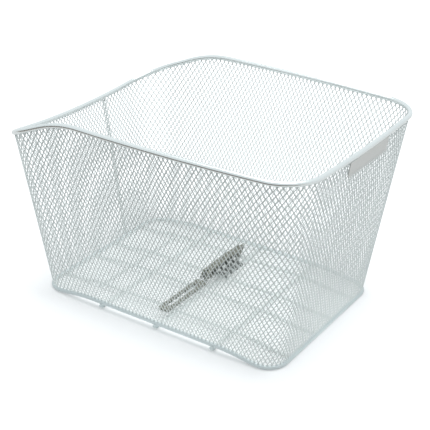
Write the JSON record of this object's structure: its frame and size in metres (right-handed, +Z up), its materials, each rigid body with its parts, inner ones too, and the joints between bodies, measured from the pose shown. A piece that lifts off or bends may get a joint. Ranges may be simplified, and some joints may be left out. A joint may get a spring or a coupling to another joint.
{
  "type": "rear bicycle basket",
  "caption": "Tapered rear bicycle basket of silver diamond mesh on a wire frame, its rim dipping at the saddle end, with slotted rack fixing straps lying on the floor.",
  "frame": {"origin": "on the ground under the middle of the rim", "axes": "+X to the rear of the bicycle, where the reflector plate hangs; -X to the saddle, where the rim dips; +Y to the bicycle's right; +Z up"},
  "size_m": [0.406, 0.3168, 0.243],
  "materials": {
    "silver_paint": "satin silver paint over steel wire and flattened expanded mesh",
    "plate_paint": "smooth satin grey paint, bare of any reflector or marking",
    "black_paint": "satin black paint on punched steel strip",
    "zinc_plate": "bright zinc plate"
  },
  "bodies": {
    "root": {"rim_tube": "silver_paint", "wall_left": "silver_paint", "corner_rear_left": "silver_paint", "wall_rear": "silver_paint", "corner_rear_right": "silver_paint", "wall_right": "silver_paint", "corner_front_right": "silver_paint", "wall_front": "silver_paint", "corner_front_left": "silver_paint", "floor_net": "silver_paint", "base_ring": "silver_paint", "cross_rod_1": "silver_paint", "cross_rod_2": "silver_paint", "cross_rod_3": "silver_paint", "long_wire_1": "silver_paint", "long_wire_2": "silver_paint", "long_wire_3": "silver_paint", "long_wire_4": "silver_paint", "front_wire": "silver_paint", "reflector_plate": "plate_paint", "strap_plate_1": "black_paint", "strap_plate_2": "black_paint", "strap_plate_3": "black_paint", "strap_plate_4": "black_paint", "strap_bolt_1": "zinc_plate", "strap_bolt_2": "zinc_plate", "strap_bolt_3": "zinc_plate", "strap_bolt_4": "zinc_plate", "strap_washer_1": "zinc_plate", "strap_washer_2": "zinc_plate", "strap_washer_3": "zinc_plate", "strap_washer_4": "zinc_plate", "strap_nut_1": "zinc_plate", "strap_nut_2": "zinc_plate", "strap_nut_3": "zinc_plate", "strap_nut_4": "zinc_plate"}
  },
  "joints": []
}
